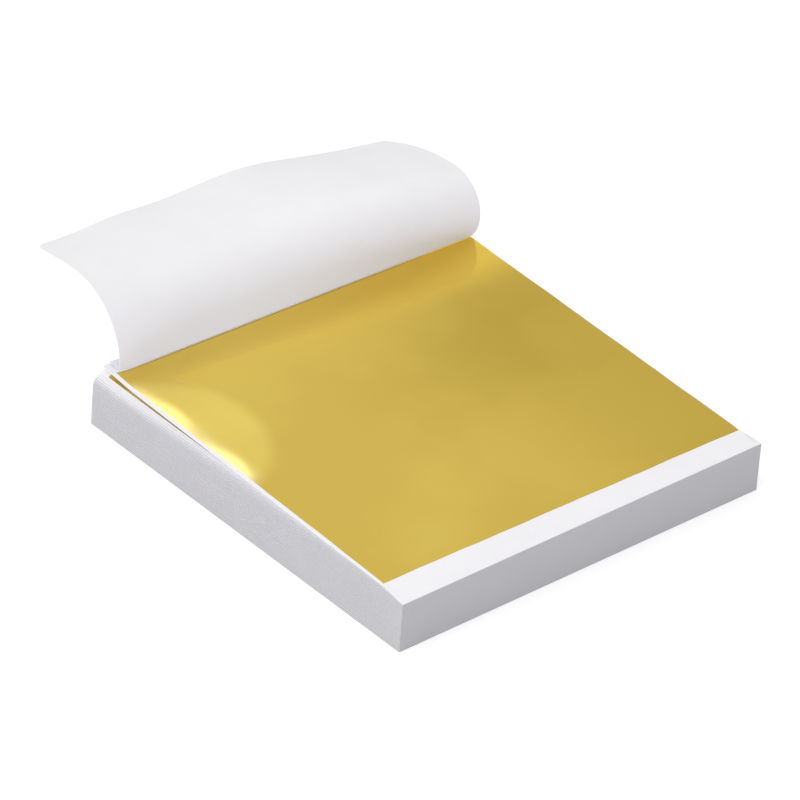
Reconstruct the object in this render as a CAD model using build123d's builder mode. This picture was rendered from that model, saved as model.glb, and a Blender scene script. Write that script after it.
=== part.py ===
from build123d import *
import math
import os

os.makedirs("parts", exist_ok=True)

# A booklet of metal leaf lies on a table with its first page turned back.
# +X runs along the glued spine, +Y points to the spine and +Z up.
# The origin is the middle of the pad's underside. Lengths are in millimetres.

# Metal leaves, one on every page
leaf_width = 85.0
leaf_depth = 80.0
leaf_thickness = 0.02

# Pages of thin white tissue, cut to the leaf with a bare margin all round, and jogged flush at
# the spine
side_margin = 1.0
front_margin = 6.0
back_margin = 2.0
page_width = leaf_width + 2 * side_margin
page_depth = front_margin + leaf_depth + back_margin
page_thickness = 0.09
page_count = 100
page_scatter = 0.15
scatter_turn = 137.5

# All the air between the sheets of the pad at the spine, at the bend in front of the leaves,
# and at the front edge, where the pages close up because no leaf lies between them
spine_air = 0.72
bend_air = 0.22
front_edge_air = 1.45
leaf_to_bend = 1.0

# The page under the open leaf has been pushed askew, so that its sides don't line up with the
# pad's, and the leaf lies a little askew on it
top_page_right_inset = 1.1
top_page_askew = 1.9
top_leaf_shift = 0.8
top_leaf_forward = 0.5
top_leaf_turn = 1.2

# Film of padding glue on the back edges of the pages
glue_thickness = 0.25

# The turned page has shifted sideways on the pad. Its crease runs askew to the spine, and the
# strip behind the crease stays glued
turned_left_inset = 3.6
turned_right_overhang = 1.5
crease_left_margin = 3.3
crease_right_margin = 5.2
crease_gap = 0.15
strip_clearance = 0.01

# How the turned page bends, at its left edge, its middle and its right edge: it rises along a
# straight wall, bends over a tight shoulder and a wide crown, and runs out in a straight tail
station_shares = (0, 0.5, 1)
rise_angles = (82.5, 80.0, 121.0)
wall_lengths = (2.4, 4.7, 0.9)
shoulder_radii = (14.0, 11.2, 7.6)
crown_radii = (39.5, 45.0, 42.0)
fall_angles = (8.0, 17.0, 22.5)
tail_lengths = (6.5, 6.5, 5.2)

# The page is doubled at the end of its tail and comes back under itself
fold_radius = 0.6
free_edge_gap = 0.4

# Pages and leaves are kept in bundles of this many
bundle_size = 5


# Places of the sheets


spine_y = page_depth / 2
front_y = -page_depth / 2
bend_y = front_y + front_margin - leaf_to_bend
top_index = page_count - 1
bare_height = page_count * page_thickness
leaved_height = bare_height + top_index * leaf_thickness
spine_height = leaved_height + spine_air
bend_height = leaved_height + bend_air
front_edge_height = bare_height + front_edge_air


def underside(index, stack_height):
    """Height of the underside of a page, where the stack has this height."""
    return index * (stack_height - page_thickness) / top_index


def slope_of(index):
    """How far a page rises for each length towards the spine."""
    return (underside(index, spine_height) - underside(index, bend_height)) / (spine_y - bend_y)


def surface_plane(index, x, y, lift):
    """Plane on the flat upper face of a page, lifted by a clearance."""
    z = underside(index, bend_height) + slope_of(index) * (y - bend_y) + page_thickness + lift
    return Plane(origin=(x, y, z), x_dir=(1, 0, 0), z_dir=(0, -slope_of(index), 1))


def scatter_of(index):
    """Sideways place of a page, which is never quite in line with the next."""
    return page_scatter * math.sin(math.radians(index * scatter_turn))


def page_outline(index):
    """Thin section of a page, seen along the spine: flat to the bend, then down to the front."""
    back = underside(index, spine_height)
    bend = underside(index, bend_height)
    front = underside(index, front_edge_height)
    return [
        (spine_y, back),
        (bend_y, bend),
        (front_y, front),
        (front_y, front + page_thickness),
        (bend_y, bend + page_thickness),
        (spine_y, back + page_thickness),
    ]


# Pages


def make_pages(indices):
    with BuildPart() as pages:
        for index in indices:
            with BuildSketch(Plane.YZ.offset(scatter_of(index))):
                with BuildLine():
                    Polyline(*page_outline(index), close=True)
                make_face()
            extrude(amount=page_width / 2, both=True)
    return pages.part


def make_top_page():
    """The page under the open leaf, with its sides askew."""
    left = -page_width / 2
    right = page_width / 2 - top_page_right_inset
    with BuildPart() as page:
        with BuildSketch(Plane.YZ):
            with BuildLine():
                Polyline(*page_outline(top_index), close=True)
            make_face()
        extrude(amount=page_width / 2 + top_page_askew, both=True)
        with BuildSketch():
            with BuildLine():
                Polyline(
                    (left, front_y),
                    (right, front_y),
                    (right + top_page_askew, spine_y),
                    (left + top_page_askew, spine_y),
                    close=True,
                )
            make_face()
        extrude(amount=spine_height, mode=Mode.INTERSECT)
    return page.part


# Leaves


leaf_middle_y = front_y + front_margin + leaf_depth / 2


def make_leaves(indices):
    with BuildPart() as leaves:
        for index in indices:
            with BuildSketch(surface_plane(index, scatter_of(index), leaf_middle_y, 0)):
                Rectangle(leaf_width, leaf_depth)
            extrude(amount=leaf_thickness)
    return leaves.part


def make_top_leaf():
    plane = surface_plane(top_index, top_leaf_shift, leaf_middle_y - top_leaf_forward, 0)
    with BuildPart() as leaf:
        with BuildSketch(plane):
            Rectangle(leaf_width, leaf_depth, rotation=-top_leaf_turn)
        extrude(amount=leaf_thickness)
    return leaf.part


# Film of glue, from the table to the hinge line of the top page


def make_glue():
    film_height = underside(top_index, spine_height)
    with BuildPart() as film:
        with BuildSketch(Plane.XZ.offset(-spine_y)):
            with Locations((0, film_height / 2)):
                Rectangle(page_width, film_height)
        extrude(amount=-glue_thickness)
    return film.part


# Strip of the turned page that stays down behind the crease


turned_left = turned_left_inset - page_width / 2
turned_right = turned_right_overhang + page_width / 2
strip_lift = leaf_thickness + strip_clearance
crease_left_y = spine_y - crease_left_margin
crease_right_y = spine_y - crease_right_margin


def make_strip():
    plane = surface_plane(top_index, 0, spine_y, strip_lift)
    with BuildPart() as strip:
        with BuildSketch(plane):
            with BuildLine():
                Polyline(
                    (turned_left, 0),
                    (turned_left, -crease_left_margin),
                    (turned_right, -crease_right_margin),
                    (turned_right, 0),
                    close=True,
                )
            make_face()
        extrude(amount=page_thickness)
    return strip.part


# Turned page


def crease_point(share):
    """Point above the crease, from its left end (0) to its right end (1)."""
    x = turned_left + share * (turned_right - turned_left)
    y = crease_left_y + share * (crease_right_y - crease_left_y)
    strip_top = surface_plane(top_index, x, y, strip_lift + page_thickness).origin.Z
    return Vector(x, y, strip_top + crease_gap)


def trace_side(start, station, inset):
    """One face of the page as tangent lines and arcs, from its crease to its free edge.

    The inset is how far this face lies behind the one that shows from the front.
    """
    rise = rise_angles[station]
    fall = fall_angles[station]
    shoulder = shoulder_radii[station] - inset
    crown = crown_radii[station] - inset
    fold = fold_radius - inset
    under_shoulder_radius = shoulder_radii[station] - 2 * fold_radius + inset
    under_crown_radius = crown_radii[station] - 2 * fold_radius + inset
    wall = PolarLine(start, wall_lengths[station], rise)
    over_shoulder = JernArc(wall @ 1, wall % 1, shoulder, -rise)
    over_crown = JernArc(over_shoulder @ 1, over_shoulder % 1, crown, -fall)
    tail = PolarLine(over_crown @ 1, tail_lengths[station], -fall)
    turn = JernArc(tail @ 1, tail % 1, fold, -180)
    under_tail = PolarLine(turn @ 1, tail_lengths[station], 180 - fall)
    under_crown = JernArc(under_tail @ 1, under_tail % 1, under_crown_radius, fall)
    under_shoulder = JernArc(under_crown @ 1, under_crown % 1, under_shoulder_radius, rise)
    drop = (under_shoulder @ 1).Y - free_edge_gap
    under_wall = PolarLine(under_shoulder @ 1, drop / math.sin(math.radians(rise)), 180 + rise)
    return wall, under_wall


def page_section(station, share):
    """Closed thin section of the turned page at one of its three stations."""
    root = crease_point(share)
    rise = math.radians(rise_angles[station])
    behind = Vector(math.sin(rise), -math.cos(rise)) * page_thickness
    with BuildSketch(Plane(origin=root, x_dir=(0, 1, 0), z_dir=(1, 0, 0))) as section:
        with BuildLine():
            front_wall, front_end = trace_side(Vector(0, 0), station, 0)
            back_wall, back_end = trace_side(behind, station, page_thickness)
            Line(front_wall @ 0, back_wall @ 0)
            Line(front_end @ 1, back_end @ 1)
        make_face()
    return section.sketch


def make_turned_page():
    with BuildPart() as page:
        for station, share in enumerate(station_shares):
            add(page_section(station, share))
        loft()
    return page.part


# Writing the nodes


def write(part, node):
    part.label = node
    export_step(part, f"parts/{node}.step")


write(make_turned_page(), "turned_page")
write(make_strip(), "turned_page_strip")
write(make_top_leaf(), "top_leaf")
write(make_top_page(), "top_page")
write(make_glue(), "spine_glue")

for number, first in enumerate(range(0, page_count, bundle_size), start=1):
    indices = [i for i in range(first, first + bundle_size) if i < top_index]
    write(make_pages(indices), f"page_bundle_{number:02d}")
    write(make_leaves(indices), f"leaf_bundle_{number:02d}")
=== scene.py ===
import math

import bmesh
import bpy
from mathutils import Matrix, Vector


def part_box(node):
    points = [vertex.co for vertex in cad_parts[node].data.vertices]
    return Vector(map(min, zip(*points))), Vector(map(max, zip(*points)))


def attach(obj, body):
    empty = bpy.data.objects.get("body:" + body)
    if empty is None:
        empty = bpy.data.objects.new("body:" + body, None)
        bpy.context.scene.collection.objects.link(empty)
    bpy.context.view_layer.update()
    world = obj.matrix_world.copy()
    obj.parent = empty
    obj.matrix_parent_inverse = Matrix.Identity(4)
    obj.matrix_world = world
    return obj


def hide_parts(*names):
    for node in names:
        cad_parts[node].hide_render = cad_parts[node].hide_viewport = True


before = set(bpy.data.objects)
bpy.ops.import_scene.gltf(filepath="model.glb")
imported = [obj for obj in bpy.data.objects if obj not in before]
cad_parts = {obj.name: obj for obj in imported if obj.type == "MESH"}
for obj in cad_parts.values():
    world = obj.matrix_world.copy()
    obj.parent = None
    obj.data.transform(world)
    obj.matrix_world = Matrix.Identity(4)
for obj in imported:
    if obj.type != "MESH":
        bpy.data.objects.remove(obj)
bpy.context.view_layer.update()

# Lengths are in metres. +X runs along the glued spine, +Y points to the spine and +Z is up, with
# the origin in the middle of the pad's underside.
mm = 0.001


# Camera
# It stands in front of the booklet and to its left, far off with a long lens, and is tipped a
# little to one side, as in the photograph.

camera_azimuth = math.radians(-42.919)
camera_elevation = math.radians(33.928)
camera_roll = math.radians(4.306)
camera_distance = 1216.2 * mm
camera_sideways = -4.31 * mm
camera_upwards = 10.5 * mm

towards_camera = Vector((
    math.sin(camera_azimuth) * math.cos(camera_elevation),
    -math.cos(camera_azimuth) * math.cos(camera_elevation),
    math.sin(camera_elevation),
))
level_right = Vector((math.cos(camera_azimuth), math.sin(camera_azimuth), 0))
level_up = towards_camera.cross(level_right)
picture_right = math.cos(camera_roll) * level_right + math.sin(camera_roll) * level_up
picture_up = math.cos(camera_roll) * level_up - math.sin(camera_roll) * level_right
camera_place = (
    camera_distance * towards_camera
    + camera_sideways * picture_right
    + camera_upwards * picture_up
)

camera_data = bpy.data.cameras.new("photo_camera")
camera_data.lens = 295.65
camera_data.sensor_width = 36
camera_data.clip_start = 0.05
camera = bpy.data.objects.new("photo_camera", camera_data)
camera_turn = Matrix((picture_right, picture_up, towards_camera)).transposed()
camera.matrix_world = Matrix.Translation(camera_place) @ camera_turn.to_4x4()
bpy.context.scene.collection.objects.link(camera)
bpy.context.scene.camera = camera


# Pages of the pad
# Sheets of thin white tissue, glued at the spine and cut together. Their cut edges make the sides
# of the pad, whose grey is painted shade of the gaps between the sheets. The topmost ones sag
# along both sides, where no leaf lies under them, and have been dragged askew at the left.

tissue_white = (0.87, 0.858, 0.885, 1)
# The grey of the cut edges is painted shade between the sheets.
painted_shade_edge_grey = (0.49, 0.483, 0.484, 1)
cut_edge_tilt = 0.5
edge_tone_scale = 12
sheets_in_edge_tone = 4
darkest_edge_tone = 0.96
fibre_share = 0.35
thin_pulp = 0.35
thick_pulp = 0.95
tone_start = 0.3
tone_end = 0.7
sharp_angle = math.radians(40)
page_count = 100
bundle_size = 5
page_thickness = 0.09 * mm
page_scatter = 0.05 * mm
scatter_turn = math.radians(137.5)
page_askew = 1.9 * mm
drag_depth = 24
bend_y = -39 * mm
bend_height = 11.2 * mm
bend_rounding = 1.2 * mm
left_sag = 1.2 * mm
left_sag_start = -2 * mm
left_sag_reach = 2.8 * mm
right_sag = 1.1 * mm
right_sag_length = 7 * mm
right_sag_reach = 1.5 * mm
page_columns = 24
page_rows = 20
column_crowding = 2.2
row_crowding = 1.6

# This page and its leaf come to light when the page above them is lifted, so their grids are
# finer.
bare_index = 98
bare_page_fineness = 4
bare_leaf_fineness = 5

glue_low, glue_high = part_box("spine_glue")
top_page_low, top_page_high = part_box("top_page")
pad_left = glue_low.x
pad_right = glue_high.x
front_y = top_page_low.y
spine_y = glue_low.y
back_height = top_page_high.z
front_height = top_page_low.z + page_thickness
page_slope = (back_height - bend_height) / (spine_y - bend_y)


def add_node(tree, kind, inputs=None, **settings):
    """Adds a node and sets its properties. An input whose value is a socket is linked to it."""
    node = tree.nodes.new(kind)
    for name, value in settings.items():
        setattr(node, name, value)
    for name, value in (inputs or {}).items():
        if isinstance(value, bpy.types.NodeSocket):
            tree.links.new(value, node.inputs[name])
        else:
            node.inputs[name].default_value = value
    return node


def add_math(tree, operation, *values, use_clamp=False):
    """Calculates with numbers or sockets. Gives the socket of the result."""
    inputs = dict(enumerate(values))
    node = add_node(tree, "ShaderNodeMath", inputs, operation=operation, use_clamp=use_clamp)
    return node.outputs[0]


def add_ramp(tree, source, start, end, low, high, smooth=False):
    """Turns a value from start to end into one from low to high. Gives its socket."""
    ramp = add_node(tree, "ShaderNodeMapRange", inputs={
        "Value": source, "From Min": start, "From Max": end, "To Min": low, "To Max": high,
    })
    if smooth:
        ramp.interpolation_type = "SMOOTHSTEP"
    return ramp.outputs["Result"]


def start_material(name):
    """Makes a material. Gives it with its node tree and its surface node."""
    material = bpy.data.materials.new(name)
    material.use_nodes = True
    return material, material.node_tree, material.node_tree.nodes["Principled BSDF"]


def add_bump(tree, surface, height, strength, distance):
    """Makes a surface uneven."""
    bump = add_node(tree, "ShaderNodeBump", inputs={
        "Height": height, "Strength": strength, "Distance": distance,
    })
    tree.links.new(bump.outputs["Normal"], surface.inputs["Normal"])


def make_tissue_grain():
    """Soft clouds of thicker and thinner pulp, and short fibres that lie every way."""
    tree = bpy.data.node_groups.new("tissue_grain", "ShaderNodeTree")
    tree.interface.new_socket("Tint", in_out="INPUT", socket_type="NodeSocketColor")
    tree.interface.new_socket("Cloudiness", in_out="INPUT", socket_type="NodeSocketFloat")
    tree.interface.new_socket("Color", in_out="OUTPUT", socket_type="NodeSocketColor")
    tree.interface.new_socket("Height", in_out="OUTPUT", socket_type="NodeSocketFloat")
    group_in = add_node(tree, "NodeGroupInput")
    place = add_node(tree, "ShaderNodeTexCoord")
    clouds = add_node(tree, "ShaderNodeTexNoise", inputs={
        "Vector": place.outputs["Object"], "Scale": 90, "Detail": 5, "Roughness": 0.6,
    })
    fibres = add_node(tree, "ShaderNodeTexNoise", noise_type="RIDGED_MULTIFRACTAL", inputs={
        "Vector": place.outputs["Object"],
        "Scale": 700, "Detail": 4, "Roughness": 0.55, "Distortion": 0.8,
    })
    pulp = clouds.outputs["Fac"]
    height = add_math(tree, "MULTIPLY_ADD", fibres.outputs["Fac"], fibre_share, pulp)
    shade = add_ramp(tree, height, thin_pulp, thick_pulp, 1, 0)
    depth = add_math(tree, "MULTIPLY", shade, group_in.outputs["Cloudiness"])
    keep = add_math(tree, "SUBTRACT", 1, depth)
    tone = add_node(tree, "ShaderNodeVectorMath", operation="SCALE", inputs={
        0: group_in.outputs["Tint"], "Scale": keep,
    })
    add_node(tree, "NodeGroupOutput", inputs={"Color": tone.outputs["Vector"], "Height": height})
    return tree


tissue_grain = make_tissue_grain()


def make_tissue(name, tint, cloudiness, bump_distance, translucency=0):
    """Matte tissue with clouds, fibres and a slightly uneven surface. A single sheet lets some
    of the light through."""
    material, tree, surface = start_material(name)
    surface.inputs["Roughness"].default_value = 0.62
    surface.inputs["Specular IOR Level"].default_value = 0.3
    grain = add_node(tree, "ShaderNodeGroup", node_tree=tissue_grain, inputs={
        "Tint": tint, "Cloudiness": cloudiness,
    })
    add_bump(tree, surface, grain.outputs["Height"], strength=0.5, distance=bump_distance)
    tree.links.new(grain.outputs["Color"], surface.inputs["Base Color"])
    if translucency:
        through = add_node(tree, "ShaderNodeBsdfTranslucent", inputs={"Color": tint})
        both = add_node(tree, "ShaderNodeMixShader", inputs={
            "Fac": translucency, 1: surface.outputs["BSDF"], 2: through.outputs["BSDF"],
        })
        tree.links.new(both.outputs["Shader"], tree.nodes["Material Output"].inputs["Surface"])
    return material


def make_painted_shade_cut_edge():
    """Cut edges of tissue, painted grey as shade between the sheets. Their tone changes a little
    from sheet to sheet.
    """
    material = make_tissue("cut_edge_painted_shade", painted_shade_edge_grey, cloudiness=0.03, bump_distance=0.01 * mm)
    tree = material.node_tree
    surface = tree.nodes["Principled BSDF"]
    surface.inputs["Roughness"].default_value = 0.8
    grain_color = surface.inputs["Base Color"].links[0].from_socket
    place = add_node(tree, "ShaderNodeTexCoord")
    through_sheets = 1 / (sheets_in_edge_tone * page_thickness)
    along_sheets = add_node(tree, "ShaderNodeMapping", vector_type="POINT", inputs={
        "Vector": place.outputs["Object"],
        "Scale": (edge_tone_scale, edge_tone_scale, through_sheets),
    })
    tones = add_node(tree, "ShaderNodeTexNoise", inputs={
        "Vector": along_sheets.outputs["Vector"], "Scale": 1, "Detail": 3, "Roughness": 0.7,
    })
    keep = add_ramp(tree, tones.outputs["Fac"], tone_start, tone_end, darkest_edge_tone, 1)
    toned = add_node(tree, "ShaderNodeVectorMath", operation="SCALE", inputs={
        0: grain_color, "Scale": keep,
    })
    tree.links.new(toned.outputs["Vector"], surface.inputs["Base Color"])
    return material


def ease(share):
    """Goes smoothly from 0 to 1 as the share does."""
    share = min(max(share, 0), 1)
    return share * share * (3 - 2 * share)


def crowd_to_edges(share, crowding):
    """Moves shares towards 0 and 1, so that a sheet's grid is finer near its edges."""
    near_edge = (2 * min(share, 1 - share)) ** crowding / 2
    return near_edge if share < 0.5 else 1 - near_edge


def flat_top(y):
    """Height of the pad's top where no side sags: flat, then bent down to the front edge."""
    front_slope = (bend_height - front_height) / (bend_y - front_y) - page_slope
    past_bend = (bend_y - y) / bend_rounding
    dip = front_slope * bend_rounding * math.log1p(math.exp(past_bend))
    return back_height - page_slope * (spine_y - y) - dip


def sag(x, y):
    """How far the topmost pages sag below the flat top, along the pad's two sides."""
    left_depth = left_sag * ease((y - left_sag_start) / (spine_y - left_sag_start))
    right_depth = right_sag * ease((y - front_y) / right_sag_length)
    from_left = (x - pad_left) / left_sag_reach
    from_right = (pad_right - x) / right_sag_reach
    return left_depth * math.exp(-from_left ** 2) + right_depth * math.exp(-from_right ** 2)


def stack_share(index):
    """How far up the stack a page lies."""
    return index / (page_count - 1)


def page_height(index, x, y):
    """Height of the upper face of a page. The sag spreads evenly over all the pages."""
    return page_thickness + stack_share(index) * (flat_top(y) - sag(x, y) - page_thickness)


def sideways(index):
    """A page is never quite in line with the next."""
    return page_scatter * math.sin(index * scatter_turn)


def drag(index, y):
    """How far the topmost sheets have been dragged askew with the page that lies on them."""
    farthest = page_askew * stack_share(index) ** drag_depth
    return farthest * (y - front_y) / (spine_y - front_y)


def add_sheet(shape, columns, rows, place, thickness):
    """Adds a thin closed sheet to a shape. Each point of a grid goes where place puts its two
    shares, and the sheet's thickness lies behind that face."""
    first = len(shape.faces)
    grid = bmesh.ops.create_grid(shape, x_segments=columns, y_segments=rows, size=0.5)
    for vertex in grid["verts"]:
        vertex.co = place(vertex.co.x + 0.5, vertex.co.y + 0.5)
    shape.normal_update()
    shape.faces.ensure_lookup_table()
    bmesh.ops.solidify(shape, geom=shape.faces[first:], thickness=thickness)


def finish_sheets(name, shape, materials, body, node):
    """Makes an object of sheets, which moves with a body and stands for a CAD node. The second
    material, if there is one, goes on the cut edges."""
    bmesh.ops.recalc_face_normals(shape, faces=shape.faces[:])
    if len(materials) > 1:
        for face in shape.faces:
            face.material_index = 1 if abs(face.normal.z) < cut_edge_tilt else 0
    mesh = bpy.data.meshes.new(name)
    shape.to_mesh(mesh)
    shape.free()
    mesh.shade_smooth()
    mesh.set_sharp_from_angle(angle=sharp_angle)
    for material in materials:
        mesh.materials.append(material)
    sheets = bpy.data.objects.new(name, mesh)
    bpy.context.scene.collection.objects.link(sheets)
    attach(sheets, body)
    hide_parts(node)


def add_bundles(name, add_one, materials, node):
    """Adds the hidden sheets of one kind. Each bundle of them is an object."""
    for bundle in range(page_count // bundle_size):
        first = bundle * bundle_size
        shape = bmesh.new()
        for index in range(first, min(first + bundle_size, page_count - 1)):
            add_one(shape, index)
        number = f"{bundle + 1:02d}"
        finish_sheets(f"{name}_{number}", shape, materials, "block", f"{node}_{number}")


def add_page(shape, index):
    def place(share_x, share_y):
        y = front_y + (spine_y - front_y) * share_y ** row_crowding
        left = pad_left + drag(index, y)
        x = left + (pad_right - left) * crowd_to_edges(share_x, column_crowding) + sideways(index)
        return Vector((x, y, page_height(index, x, y)))

    fineness = bare_page_fineness if index == bare_index else 1
    add_sheet(shape, page_columns * fineness, page_rows * fineness, place, page_thickness)


page_tissue = make_tissue("page_tissue", tissue_white, cloudiness=0.05, bump_distance=0.02 * mm)
add_bundles("pages", add_page, [page_tissue, make_painted_shade_cut_edge()], "page_bundle")


# Leaves between the pages
# A sheet of beaten brass leaf lies loose on every page, a little smaller than the page, so that
# none of it shows from the side. Only the topmost lies further left, so that a dark sliver of it
# shows under the page that bridges the sag, as painted shade in the gap under that page.

leaf_width = 85 * mm
leaf_depth = 80 * mm
leaf_thickness = 0.02 * mm
leaf_middle_y = 2 * mm
hidden_leaf_thickness = 0.006 * mm
hidden_clearance = 0.01 * mm
hidden_leaf_columns = 16
hidden_leaf_rows = 12
gap_shade_leaf_shift = 0.6 * mm

brown_gold = (0.60, 0.42, 0.058, 1)
plain_gold = (0.80, 0.575, 0.105, 1)
# Lemon also serves as the painted reflection in the lifted patch.
lemon_gold_and_painted_reflection = (0.93, 0.72, 0.15, 1)
# This orange is painted reflection of the turned page.
painted_reflection_orange = (0.93, 0.63, 0.085, 1)
# This pale colour is a painted highlight at the leaf's left edge.
painted_highlight_gold = (0.95, 0.80, 0.33, 1)
gold_left_x = -25 * mm
gold_right_x = 45 * mm
left_tone = 0.52
right_tone = 0.02
cloud_tone = 0.09
cloud_rim_start = 0.38
cloud_rim_end = 0.62
# Orange towards the spine, stronger to the right, is painted reflection of the turned page.
painted_reflection_start_y = 22 * mm
painted_reflection_end_y = 33 * mm
painted_reflection_left_x = -15 * mm
painted_reflection_right_x = 38 * mm
left_painted_reflection = 0.15
right_painted_reflection = 0.95
# A pale edge at the left, inside the lifted patch, is a painted highlight.
painted_highlight_start_x = -37.5 * mm
painted_highlight_end_x = -42 * mm
painted_highlight_strength = 2.2
least_roughness = 0.08
most_roughness = 0.12

# Where air lifts the leaf, it is less smooth, and lemon as a painted reflection. The rim runs
# from outside to inside.
lifted_patch_x = -45 * mm
lifted_patch_y = 18 * mm
lifted_patch_half_width = 17.5 * mm
lifted_patch_half_depth = 20 * mm
patch_rim_start = 0.47
patch_rim_end = 0.58
lemon_painted_reflection_tone = 0.36
patch_roughness = 0.35


def mix_colors(tree, share, first, second):
    """Mixes two colours, which are inputs 6 and 7 of the node. The share is the second's."""
    mix = add_node(tree, "ShaderNodeMix", data_type="RGBA", inputs={
        "Factor": share, 6: first, 7: second,
    })
    return mix.outputs[2]


def make_leaf_metal():
    """Bright imitation gold, browner to the right, with soft patches and fine creases. Where air
    lifts it at the left it is less smooth, lemon as painted reflection and pale at its edge as a
    painted highlight; orange towards the spine is painted reflection of the turned page."""
    material, tree, surface = start_material("leaf_metal")
    surface.inputs["Metallic"].default_value = 1.0
    place = add_node(tree, "ShaderNodeTexCoord").outputs["Object"]
    split = add_node(tree, "ShaderNodeSeparateXYZ", inputs={"Vector": place})
    x = split.outputs["X"]
    y = split.outputs["Y"]
    clouds = add_node(tree, "ShaderNodeTexNoise", inputs={
        "Vector": place, "Scale": 26, "Detail": 4, "Roughness": 0.45,
    }).outputs["Fac"]

    scale_x = 0.5 / lifted_patch_half_width
    scale_y = 0.5 / lifted_patch_half_depth
    patch_place = add_node(tree, "ShaderNodeMapping", vector_type="POINT", inputs={
        "Vector": place,
        "Scale": (scale_x, scale_y, 0),
        "Location": (-lifted_patch_x * scale_x, -lifted_patch_y * scale_y, 0),
    })
    inside = add_node(tree, "ShaderNodeTexGradient", gradient_type="SPHERICAL", inputs={
        "Vector": patch_place.outputs["Vector"],
    }).outputs["Fac"]
    # Lemon in the lifted patch is painted reflection; the same mask makes the leaf less smooth
    # there.
    lifted_patch_and_painted_reflection = add_ramp(tree, inside, patch_rim_start, patch_rim_end, 0, lemon_painted_reflection_tone, smooth=True)

    across = add_ramp(tree, x, gold_left_x, gold_right_x, left_tone, right_tone, smooth=True)
    in_cloud = add_ramp(
        tree, clouds, cloud_rim_start, cloud_rim_end, -cloud_tone, cloud_tone, smooth=True,
    )
    plain_tone = add_math(tree, "ADD", across, in_cloud)
    tone = add_node(tree, "ShaderNodeValToRGB", inputs={
        "Fac": add_math(tree, "ADD", plain_tone, lifted_patch_and_painted_reflection),
    })
    tone.color_ramp.elements[0].color = brown_gold
    tone.color_ramp.elements[1].color = lemon_gold_and_painted_reflection
    tone.color_ramp.elements.new(0.5).color = plain_gold

    # Orange towards the spine, stronger to the right, is painted reflection of the turned page.
    painted_reflection_by_spine = add_ramp(tree, y, painted_reflection_start_y, painted_reflection_end_y, 0, 1, smooth=True)
    painted_reflection_by_right = add_ramp(tree, x, painted_reflection_left_x, painted_reflection_right_x, left_painted_reflection, right_painted_reflection)
    painted_reflection_share = add_math(tree, "MULTIPLY", painted_reflection_by_spine, painted_reflection_by_right)
    with_painted_reflection = mix_colors(tree, painted_reflection_share, tone.outputs["Color"], painted_reflection_orange)
    # A pale edge inside the lifted patch at the left is a painted highlight.
    painted_highlight_by_edge = add_ramp(tree, x, painted_highlight_end_x, painted_highlight_start_x, painted_highlight_strength, 0, smooth=True)
    painted_highlight_share = add_math(tree, "MULTIPLY", painted_highlight_by_edge, lifted_patch_and_painted_reflection, use_clamp=True)
    tree.links.new(mix_colors(tree, painted_highlight_share, with_painted_reflection, painted_highlight_gold), surface.inputs["Base Color"])

    gloss = add_ramp(tree, clouds, tone_start, tone_end, least_roughness, most_roughness)
    roughness = add_math(tree, "MULTIPLY_ADD", lifted_patch_and_painted_reflection, patch_roughness, gloss)
    tree.links.new(roughness, surface.inputs["Roughness"])
    creases = add_node(tree, "ShaderNodeTexNoise", noise_type="RIDGED_MULTIFRACTAL", inputs={
        "Vector": place, "Scale": 120, "Detail": 4, "Roughness": 0.5, "Distortion": 0.4,
    })
    add_bump(tree, surface, creases.outputs["Fac"], strength=0.15, distance=0.02 * mm)
    return material


def add_hidden_leaf(shape, index):
    def place(share_x, share_y):
        along = leaf_width * (crowd_to_edges(share_x, column_crowding) - 0.5)
        y = leaf_middle_y + leaf_depth * (share_y - 0.5)
        x = along + sideways(index) + drag(index, y)
        # The topmost hidden leaf moves left so that its edge shows as painted shade in the gap.
        if index == bare_index:
            x -= gap_shade_leaf_shift
        top = page_height(index, x, y) + hidden_clearance + hidden_leaf_thickness
        return Vector((x, y, top))

    fineness = bare_leaf_fineness if index == bare_index else 1
    columns = hidden_leaf_columns * fineness
    add_sheet(shape, columns, hidden_leaf_rows * fineness, place, hidden_leaf_thickness)


leaf_metal = make_leaf_metal()
add_bundles("leaves", add_hidden_leaf, [leaf_metal], "leaf_bundle")


# Glue on the spine
# A film of flexible white padding glue, brushed along the back edges of the pages in two coats.
# It keeps the strokes of the brush, and the second coat stops short of the top.

dark_glue = (0.78, 0.77, 0.73, 1)
pale_glue = (0.86, 0.86, 0.84, 1)
brush_stroke_scale = (45, 45, 1100)
film_thickness = glue_high.y - glue_low.y
first_coat_share = 0.75
second_coat_share = 0.8
second_coat_wave_share = 0.05
coat_edge_share = 0.03
film_corner_share = 0.02

# The rate for each millimetre, the height and the start of each wave in the second coat's edge
coat_waves = ((0.31, 1, 0), (0.83, 0.6, 1), (1.9, 0.3, 0))


def make_padding_glue():
    """Off-white rubbery film with brush strokes along the spine."""
    material, tree, surface = start_material("padding_glue")
    surface.inputs["Roughness"].default_value = 0.38
    place = add_node(tree, "ShaderNodeTexCoord")
    along_spine = add_node(tree, "ShaderNodeMapping", vector_type="POINT", inputs={
        "Vector": place.outputs["Object"], "Scale": brush_stroke_scale,
    })
    strokes = add_node(tree, "ShaderNodeTexNoise", inputs={
        "Vector": along_spine.outputs["Vector"], "Scale": 1, "Detail": 5, "Roughness": 0.6,
    }).outputs["Fac"]
    tone = add_node(tree, "ShaderNodeValToRGB", inputs={"Fac": strokes})
    tone.color_ramp.elements[0].position = tone_start
    tone.color_ramp.elements[0].color = dark_glue
    tone.color_ramp.elements[1].position = tone_end
    tone.color_ramp.elements[1].color = pale_glue
    tree.links.new(tone.outputs["Color"], surface.inputs["Base Color"])
    add_bump(tree, surface, strokes, strength=0.6, distance=0.08 * mm)
    return material


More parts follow.
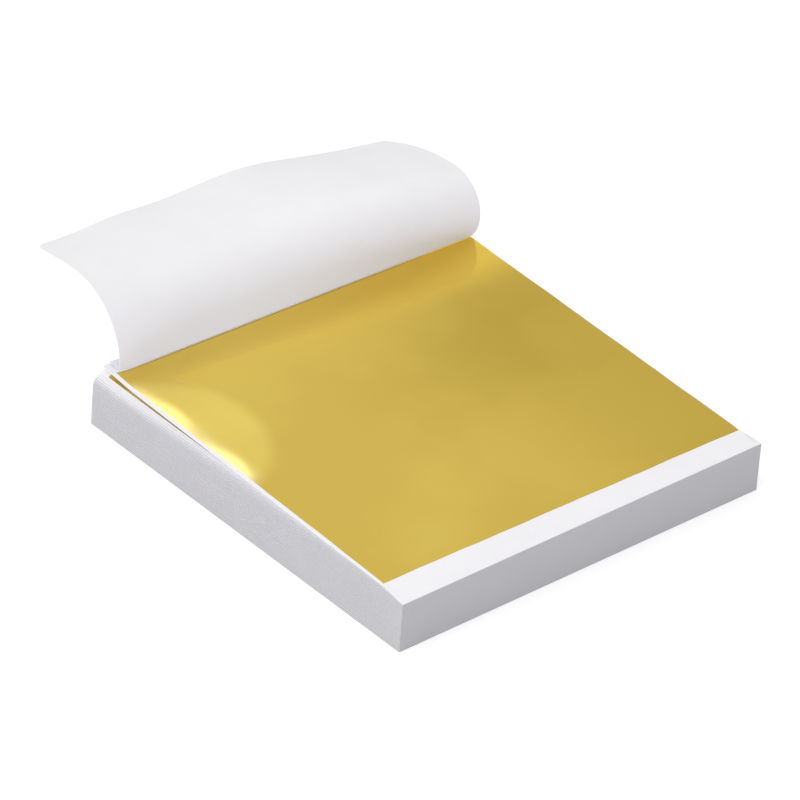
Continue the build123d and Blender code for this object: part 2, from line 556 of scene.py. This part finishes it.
def add_waves(position, waves):
    """Adds up waves, each with its rate, its height and its start."""
    return sum(height * math.sin(position * rate + start) for rate, height, start in waves)


def place_on_film(share_x, share_z):
    """The film's outer face, seen from behind the spine. At the left its top follows the pages
    that have been dragged askew."""
    x = pad_right - share_x * (pad_right - pad_left)
    dragged_share = min(max((x - pad_left) / page_askew, film_corner_share), 1)
    shoulder = dragged_share ** (1 / drag_depth)
    z = share_z * shoulder * (flat_top(spine_y) - sag(x, spine_y) - page_thickness)
    coat_top = second_coat_share + second_coat_wave_share * add_waves(x / mm, coat_waves)
    second_coat = ease((coat_top - share_z) / coat_edge_share)
    coats = first_coat_share + (1 - first_coat_share) * second_coat
    return Vector((x, spine_y + coats * film_thickness, z))


film_shape = bmesh.new()
add_sheet(
    film_shape, columns=180, rows=40, place=place_on_film,
    thickness=film_thickness * first_coat_share,
)
finish_sheets(
    "glue_film", film_shape, [make_padding_glue()], "block", "spine_glue",
)


# Page under the open leaf
# The topmost whole page lies on the pad and carries the open leaf. It has been pushed askew, so
# its left edge bridges the sagging pages below, and its back left corner stands up a little.

corner_lift = 0.5 * mm
corner_front_y = 34 * mm
corner_reach = 3 * mm
carrying_width = top_page_high.x - top_page_low.x - page_askew
carrying_crowding = 1.6


def carrying_left(y):
    """Where the page's left edge is."""
    return top_page_low.x + page_askew * (y - front_y) / (spine_y - front_y)


def carrying_height(x, y):
    """Height of the upper face of the page that carries the leaf."""
    backwards = ease((y - corner_front_y) / (spine_y - corner_front_y))
    inwards = (x - carrying_left(y)) / corner_reach
    return flat_top(y) + corner_lift * backwards * math.exp(-inwards ** 2)


def place_on_pad(share_x, share_y):
    y = front_y + share_y * (spine_y - front_y)
    x = carrying_left(y) + crowd_to_edges(share_x, carrying_crowding) * carrying_width
    return Vector((x, y, carrying_height(x, y)))


carrying_shape = bmesh.new()
add_sheet(carrying_shape, columns=60, rows=90, place=place_on_pad, thickness=page_thickness)
finish_sheets(
    "carrying_page", carrying_shape, [page_tissue], "carrying_page", "top_page",
)


# Open leaf
# One loose leaf of imitation gold, a little askew on its page and not quite square. Air lifts it
# in a low dome at the left, and it sinks at its left edge.

open_leaf_x = 0.8 * mm
open_leaf_y = 1.6 * mm
open_leaf_turn = math.radians(-0.8)
open_leaf_skew_share = 0.012
edge_wobble = 0.04 * mm
edge_wobble_power = 7
corner_pull = 1.4 * mm
corner_pull_width_share = 0.035
corner_pull_depth_share = 0.1
dome_height = 0.58 * mm
dome_wave_depth = 0.4
dome_wave_length = 24 * mm
dome_wave_y = 5 * mm
dome_edge_share = 0.04
swell_height = 0.05 * mm

# Rates for each millimetre of two soft swells, one across the leaf and one on the slant
swell_rate = 0.13
slant_swell_rates = (0.05, 0.11)

# The rate for each whole edge, the height and the start of each wave in the leaf's edges
side_waves = ((21, 1, 0), (47, 0.6, 1))
end_waves = ((18, 1, 2), (53, 0.7, 0))


def leaf_lift(x, y):
    """How far the leaf stands off its page."""
    across = (x - lifted_patch_x) / lifted_patch_half_width
    along = (y - lifted_patch_y) / lifted_patch_half_depth
    dome_wave = math.cos(2 * math.pi * (y - dome_wave_y) / dome_wave_length)
    waves = 1 - dome_wave_depth + dome_wave_depth * dome_wave
    dome = dome_height * max(0, 1 - across ** 2 - along ** 2) * waves
    swell = math.sin(x / mm * swell_rate + 1)
    slant_swell = math.sin(x / mm * slant_swell_rates[0] + y / mm * slant_swell_rates[1])
    return dome + swell_height * (2 + swell + slant_swell) / 4


def place_on_page(share_x, share_y):
    along = (share_x - 0.5) * leaf_width
    up = (share_y - 0.5) * leaf_depth
    side = 2 * share_x - 1
    end = 2 * share_y - 1
    along += side ** edge_wobble_power * edge_wobble * add_waves(share_y, side_waves)
    up += end ** edge_wobble_power * edge_wobble * add_waves(share_x, end_waves)
    along += up * open_leaf_skew_share
    from_back = (1 - share_y) / corner_pull_depth_share
    up -= corner_pull * math.exp(-(share_x / corner_pull_width_share) ** 2) * ease(1 - from_back)
    x = open_leaf_x + along * math.cos(open_leaf_turn) - up * math.sin(open_leaf_turn)
    y = open_leaf_y + along * math.sin(open_leaf_turn) + up * math.cos(open_leaf_turn)
    from_edge = min(share_x, 1 - share_x, share_y, 1 - share_y)
    roll = 1 - max(1 - from_edge / dome_edge_share, 0) ** 2
    return Vector((x, y, carrying_height(x, y) + leaf_thickness + leaf_lift(x, y) * roll))


leaf_shape = bmesh.new()
add_sheet(leaf_shape, columns=140, rows=140, place=place_on_page, thickness=leaf_thickness)
finish_sheets("open_leaf", leaf_shape, [leaf_metal], "open_leaf", "top_leaf")


# Glued strip of the turned page
# The back of the first sheet, behind the crease, where the glue still holds it down on the pad.
# Its left end has come up a little at the spine.

crease_left_margin = 3.3 * mm
crease_right_margin = 5.2 * mm
strip_clearance = 0.01 * mm
strip_lift = 0.4 * mm
strip_lift_reach = 12 * mm
strip_lift_power = 1.5

strip_low, strip_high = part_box("turned_page_strip")
turned_left = strip_low.x
turned_right = strip_high.x


def crease_y(share):
    """Where the crease is, from its left end (0) to its right end (1)."""
    margin = crease_left_margin + share * (crease_right_margin - crease_left_margin)
    return spine_y - margin


def strip_height(x, y):
    """Height of the upper face of the strip where it lies flat."""
    return carrying_height(x, y) + leaf_thickness + strip_clearance + page_thickness


def place_on_strip(share_x, share_y):
    x = turned_left + share_x * (turned_right - turned_left)
    y = crease_y(share_x) + share_y * (spine_y - crease_y(share_x))
    from_left = (x - turned_left) / strip_lift_reach
    lift = strip_lift * share_y ** strip_lift_power * math.exp(-from_left ** 2)
    return Vector((x, y, strip_height(x, y) + lift))


strip_shape = bmesh.new()
add_sheet(strip_shape, columns=80, rows=8, place=place_on_strip, thickness=page_thickness)
finish_sheets(
    "glued_strip", strip_shape, [page_tissue], "carrying_page", "turned_page_strip",
)


# Turned page
# The first sheet of tissue stands up from its crease, bends back over a tight shoulder and a wide
# crown, and is doubled at its far end, so that its free half comes back under it. The doubled end
# ripples, and its left corner is round.

# The turned sheet is painted whiter than the same tissue on the pad, as painted light on its wall
# and crown.
painted_light_turned_white = (0.94, 0.93, 0.95, 1)
turned_translucency = 0.12
crease_gap = 0.15 * mm
fold_radius = 0.6 * mm
free_edge_gap = 0.6 * mm
corner_radius = 2.2 * mm
fold_inset = 1.8 * mm
crease_inset = 3.5 * mm
front_rows_share = 0.5
fold_rows_share = 0.1
ripple_height = 0.5 * mm
ripple_length = 38 * mm
ripple_peak_x = 13 * mm
ripple_start_x = -30 * mm
ripple_power = 3
tip_lift = 0.4 * mm
tip_reach = 7 * mm

# Degrees and millimetres at the left edge, the middle and the right edge
rise_angles = (82.5, 80.0, 121.0)
wall_lengths = (2.4, 4.7, 0.9)
shoulder_radii = (14.0, 11.2, 7.6)
crown_radii = (39.5, 45.0, 42.0)
fall_angles = (8.0, 17.0, 22.5)
tail_lengths = (6.5, 6.5, 5.2)


def between(values, share):
    """Smooth curve through a value at the left edge, the middle and the right edge."""
    left, middle, right = values
    return (
        left * (1 - share) * (1 - 2 * share)
        + middle * 4 * share * (1 - share)
        + right * share * (2 * share - 1)
    )


def corner_loss(from_left):
    """How much shorter the sheet is near its left edge, where its corner is round."""
    short = max(corner_radius - from_left, 0)
    return corner_radius - math.sqrt(corner_radius ** 2 - short ** 2)


def bends_at(share):
    """The page's path as lengths with the angle that each turns through, front then return."""
    rise = math.radians(between(rise_angles, share))
    fall = math.radians(between(fall_angles, share))
    wall = between(wall_lengths, share) * mm
    shoulder = between(shoulder_radii, share) * mm
    crown = between(crown_radii, share) * mm
    tail = between(tail_lengths, share) * mm - corner_loss(share * (turned_right - turned_left))
    front = [(wall, 0), (shoulder * rise, -rise), (crown * fall, -fall), (tail, 0)]
    fold = [(math.pi * fold_radius, -math.pi)]
    back = [
        (tail, 0),
        ((crown - 2 * fold_radius) * fall, fall),
        ((shoulder - 2 * fold_radius) * rise, rise),
        (wall - free_edge_gap, 0),
    ]
    return rise, front, fold, back


def walk(start_angle, runs, distance):
    """Goes along straight and evenly bent runs. Gives the place that is reached."""
    y = 0
    z = 0
    angle = start_angle
    for length, turn in runs:
        step = min(distance, length)
        if turn == 0:
            y += step * math.cos(angle)
            z += step * math.sin(angle)
        else:
            radius = length / turn
            new_angle = angle + step / radius
            y += radius * (math.sin(new_angle) - math.sin(angle))
            z += radius * (math.cos(angle) - math.cos(new_angle))
            angle = new_angle
        distance -= step
        if distance <= 0:
            break
    return y, z


def run_length(runs):
    """Length of some runs together."""
    return sum(length for length, turn in runs)


def ripple(x):
    """Height of the doubled end's ripples."""
    waves = math.cos((x - ripple_peak_x) / ripple_length * 2 * math.pi)
    waves *= ripple_height * ease((x - ripple_start_x) / (ripple_length / 2))
    return waves + tip_lift * math.exp(-((x - turned_left) / tip_reach) ** 2)


def place_on_turned_page(share_x, share_y):
    """The page's rows run from the crease to the doubled end, round it and back."""
    front_part = min(share_y / front_rows_share, 1)
    fold_part = min(max((share_y - front_rows_share) / fold_rows_share, 0), 1)
    back_rows_share = 1 - front_rows_share - fold_rows_share
    back_part = max((share_y - front_rows_share - fold_rows_share) / back_rows_share, 0)
    inset = fold_inset * ease(fold_part) + (crease_inset - fold_inset) * back_part
    x = turned_left + inset + share_x * (turned_right - turned_left - inset)
    share = (x - turned_left) / (turned_right - turned_left)
    rise, front, fold, back = bends_at(share)
    distance = (
        run_length(front) * front_part
        + run_length(fold) * fold_part
        + run_length(back) * back_part
    )
    y, z = walk(rise, front + fold + back, distance)
    z += ripple(x) * min(front_part, 1 - back_part) ** ripple_power
    root_y = crease_y(share)
    return Vector((x, root_y + y, strip_height(x, root_y) + crease_gap + z))


turned_shape = bmesh.new()
add_sheet(
    turned_shape, columns=90, rows=200, place=place_on_turned_page, thickness=page_thickness,
)
# Its whiter tint is painted light.
painted_light_turned_tissue = make_tissue(
    "painted_light_turned_tissue", painted_light_turned_white, cloudiness=0.04, bump_distance=0.03 * mm,
    translucency=turned_translucency,
)
finish_sheets(
    "turned_sheet", turned_shape, [painted_light_turned_tissue], "first_page", "turned_page",
)


# Table, backdrop and light
# The booklet lies on a plain white table under large soft lamps, in a white room. The light that
# the leaf throws onto the turned page is kept nearly white, as it is in the photograph.

stage_white = (0.9, 0.9, 0.9, 1)
plain_white = (1, 1, 1, 1)
table_size = 3.0
table_clearance = 0.02 * mm
table_glow = 0.3
ambient_light = 0.69
upper_room_start = 0.3
upper_room_end = 0.5
upper_room_glow = 0.82
bounced_glow = (1.0, 1.22, 4.4, 1)

table_mesh = bpy.data.meshes.new("table")
table_shape = bmesh.new()
bmesh.ops.create_grid(table_shape, x_segments=1, y_segments=1, size=table_size / 2)
bmesh.ops.translate(table_shape, verts=table_shape.verts, vec=(0, 0, -table_clearance))
table_shape.to_mesh(table_mesh)
table_shape.free()
table = bpy.data.objects.new("table", table_mesh)
bpy.context.scene.collection.objects.link(table)


def add_seen_rays(tree, rays):
    """Tells the rays that look at a thing from those that only gather its light."""
    seen = add_math(tree, "MAXIMUM", rays.outputs["Is Camera Ray"], rays.outputs["Is Glossy Ray"])
    return add_math(tree, "MAXIMUM", seen, rays.outputs["Is Transmission Ray"])


table_white, table_tree, table_surface = start_material("table_white")
table_surface.inputs["Base Color"].default_value = stage_white
table_surface.inputs["Roughness"].default_value = 0.9
table_surface.inputs["Emission Color"].default_value = plain_white
table_seen = add_seen_rays(table_tree, add_node(table_tree, "ShaderNodeLightPath"))
table_strength = add_math(table_tree, "MULTIPLY", table_seen, table_glow)
table_tree.links.new(table_strength, table_surface.inputs["Emission Strength"])
table_mesh.materials.append(table_white)

room = bpy.data.worlds.new("white_room")
bpy.context.scene.world = room
room.use_nodes = True
room_tree = room.node_tree
room_light = room_tree.nodes["Background"]
room_rays = add_node(room_tree, "ShaderNodeLightPath")
glossy = room_rays.outputs["Is Glossy Ray"]

room_seen = add_seen_rays(room_tree, room_rays)
room_strength = add_ramp(room_tree, room_seen, 0, 1, ambient_light, 1)
room_place = add_node(room_tree, "ShaderNodeTexCoord")
room_height = add_node(room_tree, "ShaderNodeSeparateXYZ", inputs={
    "Vector": room_place.outputs["Generated"],
})
upper_room = add_ramp(
    room_tree, room_height.outputs["Z"], upper_room_start, upper_room_end, 1, upper_room_glow,
    smooth=True,
)
room_glow = add_node(room_tree, "ShaderNodeMix", data_type="FLOAT", inputs={
    "Factor": glossy, 2: 1, 3: upper_room,
})
room_power = add_math(room_tree, "MULTIPLY", room_strength, room_glow.outputs["Result"])
room_tree.links.new(room_power, room_light.inputs["Strength"])

diffuse_depth = room_rays.outputs["Diffuse Depth"]
bounced = add_math(room_tree, "MULTIPLY", glossy, diffuse_depth, use_clamp=True)
room_color = mix_colors(room_tree, bounced, plain_white, bounced_glow)
room_tree.links.new(room_color, room_light.inputs["Color"])


def add_softbox(name, place, width, power, mirrored):
    """Square soft lamp that points at the middle of the booklet. The leaf may mirror it or not."""
    light = bpy.data.lights.new(name, "AREA")
    light.shape = "SQUARE"
    light.size = width
    light.energy = power
    lamp = bpy.data.objects.new(name, light)
    turn = (-Vector(place)).to_track_quat("-Z", "Y")
    lamp.matrix_world = Matrix.Translation(place) @ turn.to_matrix().to_4x4()
    lamp.visible_glossy = mirrored
    bpy.context.scene.collection.objects.link(lamp)


add_softbox("left_softbox", (-1.1, 0.0, 0.7), width=0.8, power=6.5, mirrored=False)
add_softbox("front_softbox", (-0.25, -1.1, 0.55), width=0.8, power=2.5, mirrored=False)
add_softbox("top_softbox", (-0.2, 0.7, 0.9), width=0.6, power=2.0, mirrored=False)
add_softbox("rear_softbox", (0.34, 0.68, 0.93), width=0.32, power=0.32, mirrored=True)


# Colour is shown as it is.

bpy.context.scene.view_settings.view_transform = "Standard"
